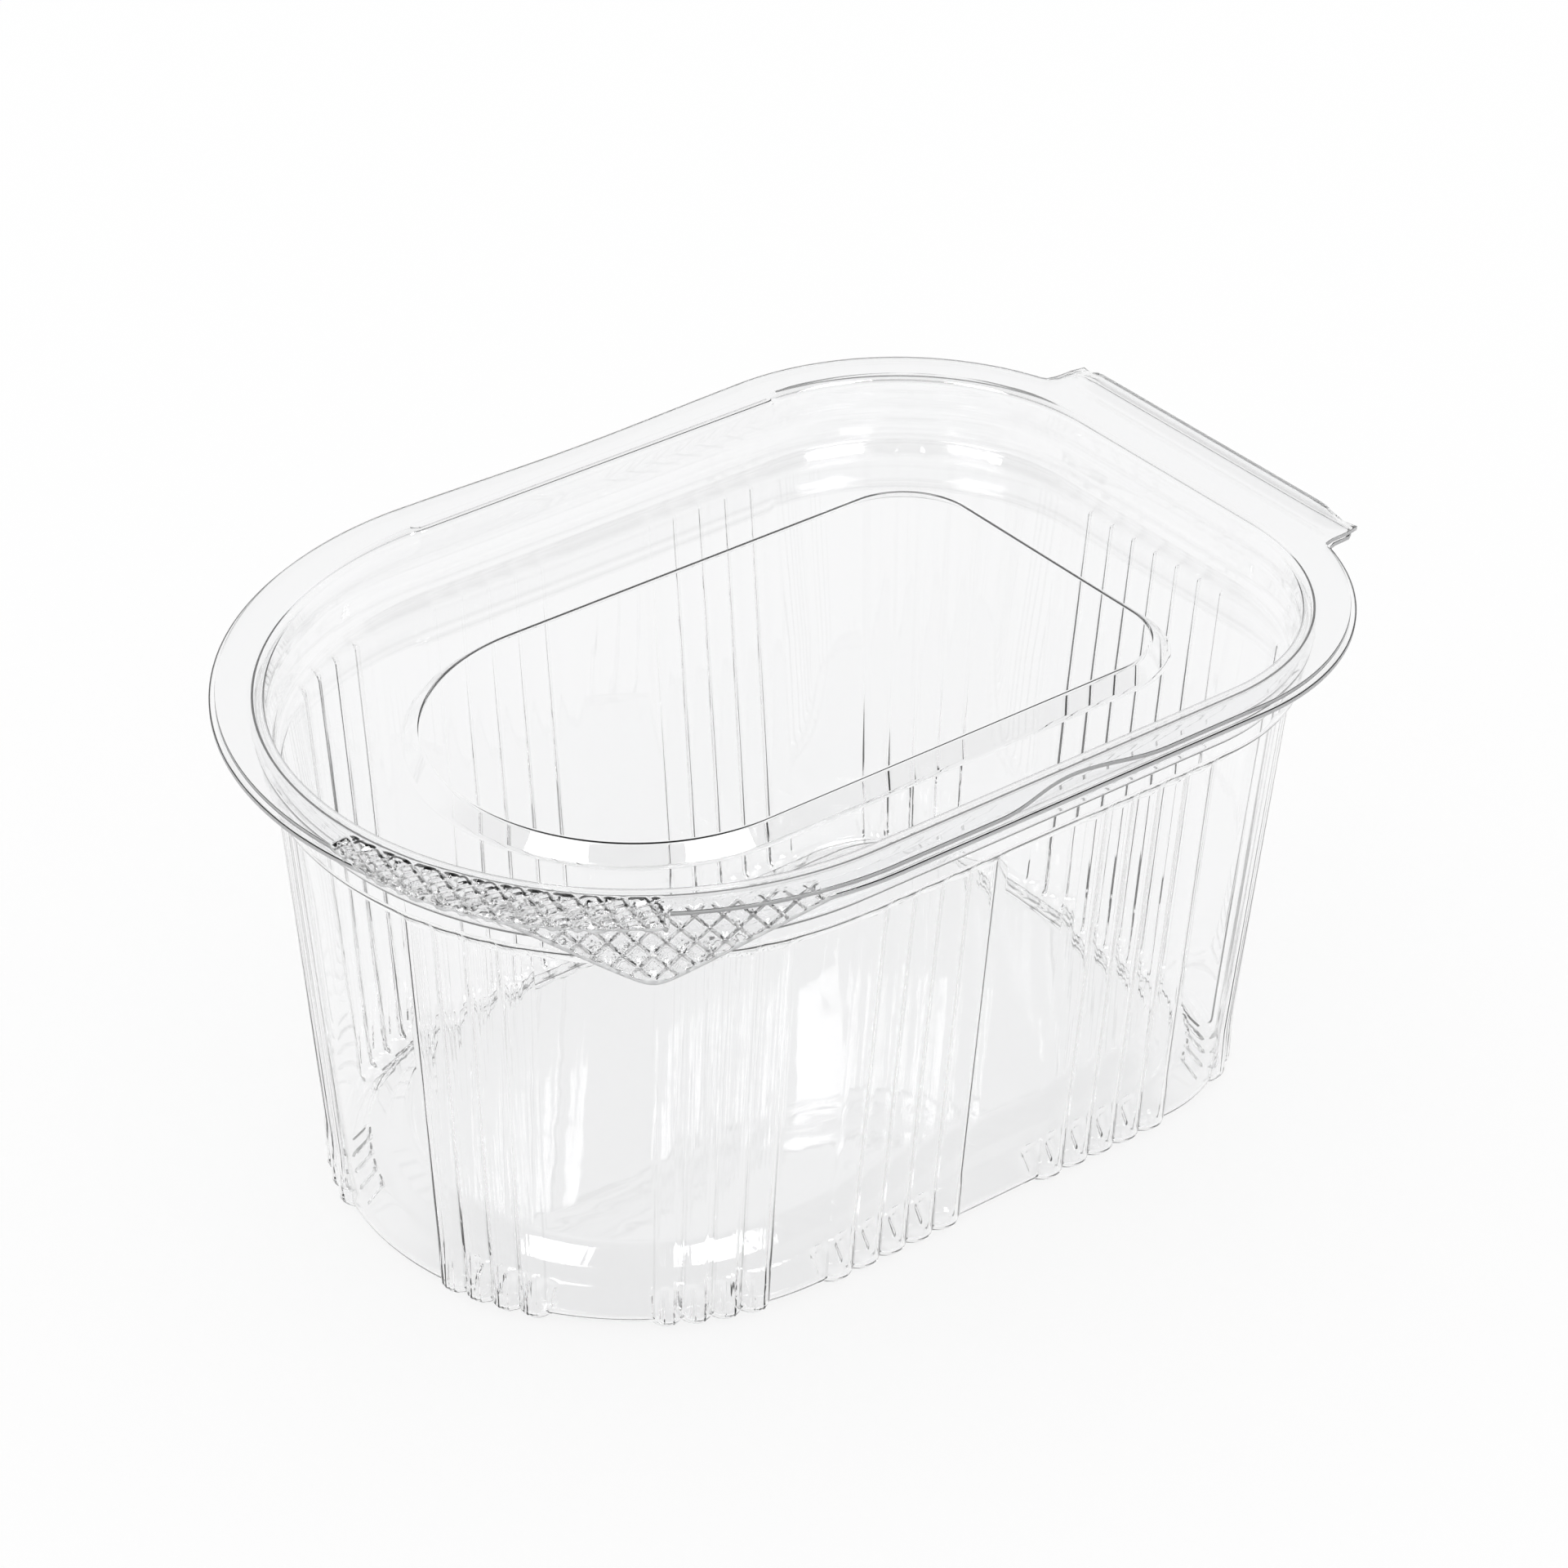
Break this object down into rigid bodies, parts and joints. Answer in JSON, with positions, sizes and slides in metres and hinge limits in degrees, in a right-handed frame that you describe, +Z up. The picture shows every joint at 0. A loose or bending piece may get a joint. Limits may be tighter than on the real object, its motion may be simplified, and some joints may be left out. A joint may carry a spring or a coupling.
{
  "type": "hinged-lid portion tub",
  "caption": "Clear thermoformed tub with a D-shaped plan, ribbed tapered walls, push-up floor and an attached press-fit lid with a living hinge and corner opening tabs.",
  "frame": {"origin": "middle of the overall outline, on the surface that the tub stands on", "axes": "+Z up, +Y towards the living hinge, +X to the right seen from the front"},
  "size_m": [0.1, 0.1424, 0.0694],
  "materials": {
    "clear_plastic": "clear, glossy, colourless sheet"
  },
  "bodies": {
    "tub": {"tub": "clear_plastic"},
    "lid": {"lid": "clear_plastic"}
  },
  "joints": [
    {"name": "lid_hinge", "type": "hinge", "parent": "tub", "child": "lid", "pos_m": [0, 0.07097, 0.06665], "axis": [-1, 0, 0], "range_deg": [0, 180]}
  ]
}
